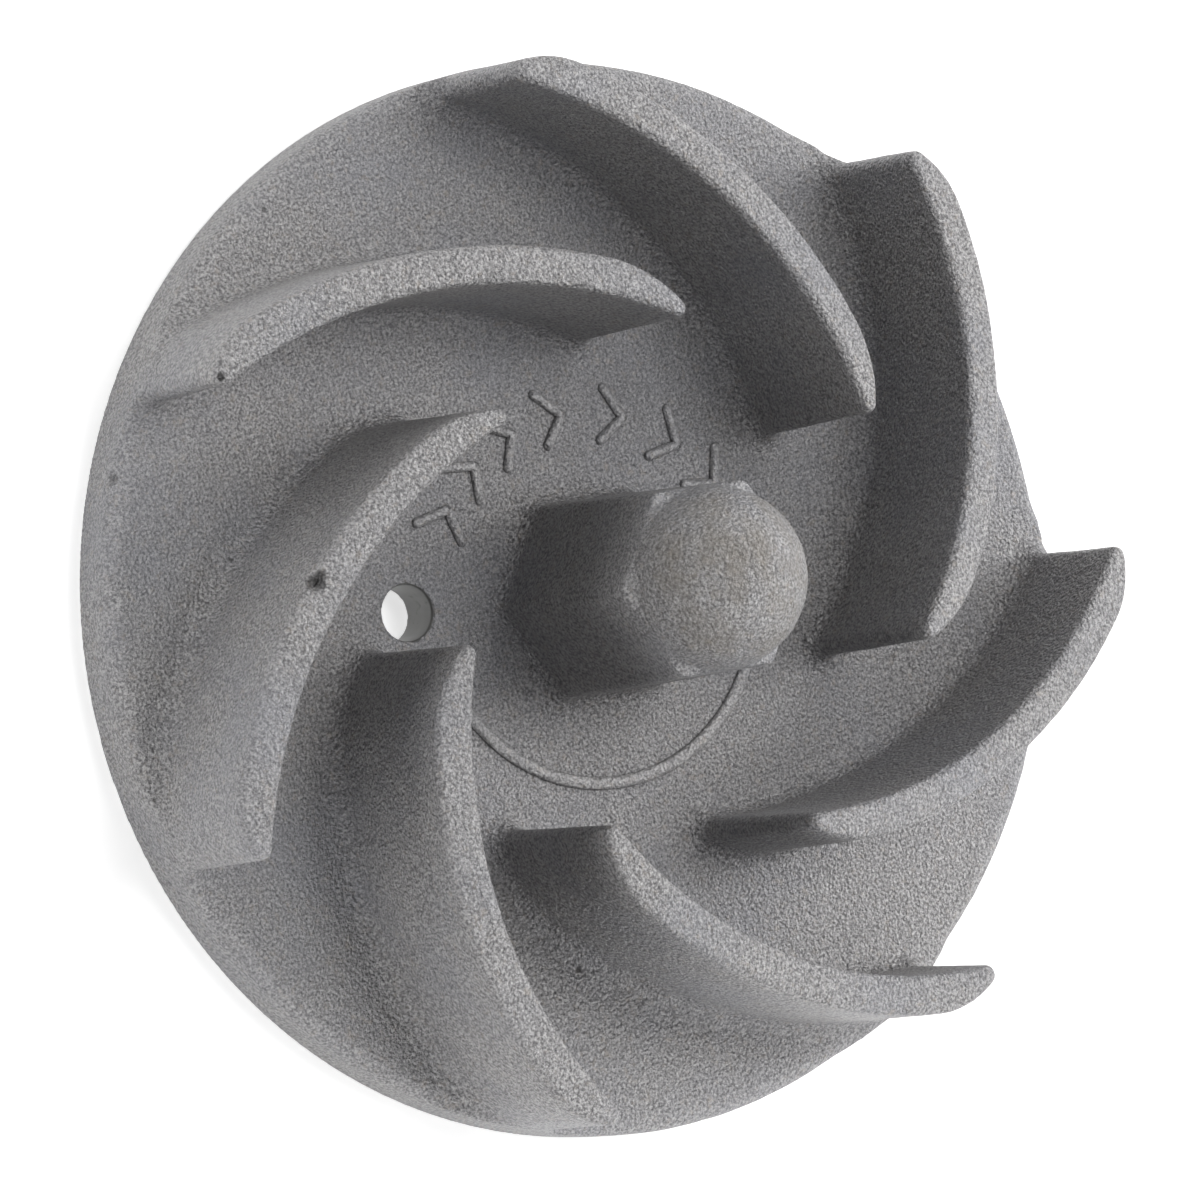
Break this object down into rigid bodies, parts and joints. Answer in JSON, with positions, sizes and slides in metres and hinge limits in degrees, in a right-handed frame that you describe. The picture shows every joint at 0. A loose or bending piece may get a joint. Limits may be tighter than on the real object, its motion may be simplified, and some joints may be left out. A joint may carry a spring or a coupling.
{
  "type": "pump impeller",
  "caption": "Semi-open cast impeller with backward-curved vanes, a domed hexagonal nose and a blind threaded hub.",
  "frame": {"origin": "centre of the hub face and rim land at the back of the web, on the shaft axis", "axes": "+Z along the shaft axis towards the pump inlet; +X through the outer tip of one vane"},
  "size_m": [0.1524, 0.1524, 0.0567],
  "materials": {
    "casting": "shot-blasted sand casting"
  },
  "bodies": {
    "root": {"impeller": "casting"}
  },
  "joints": []
}
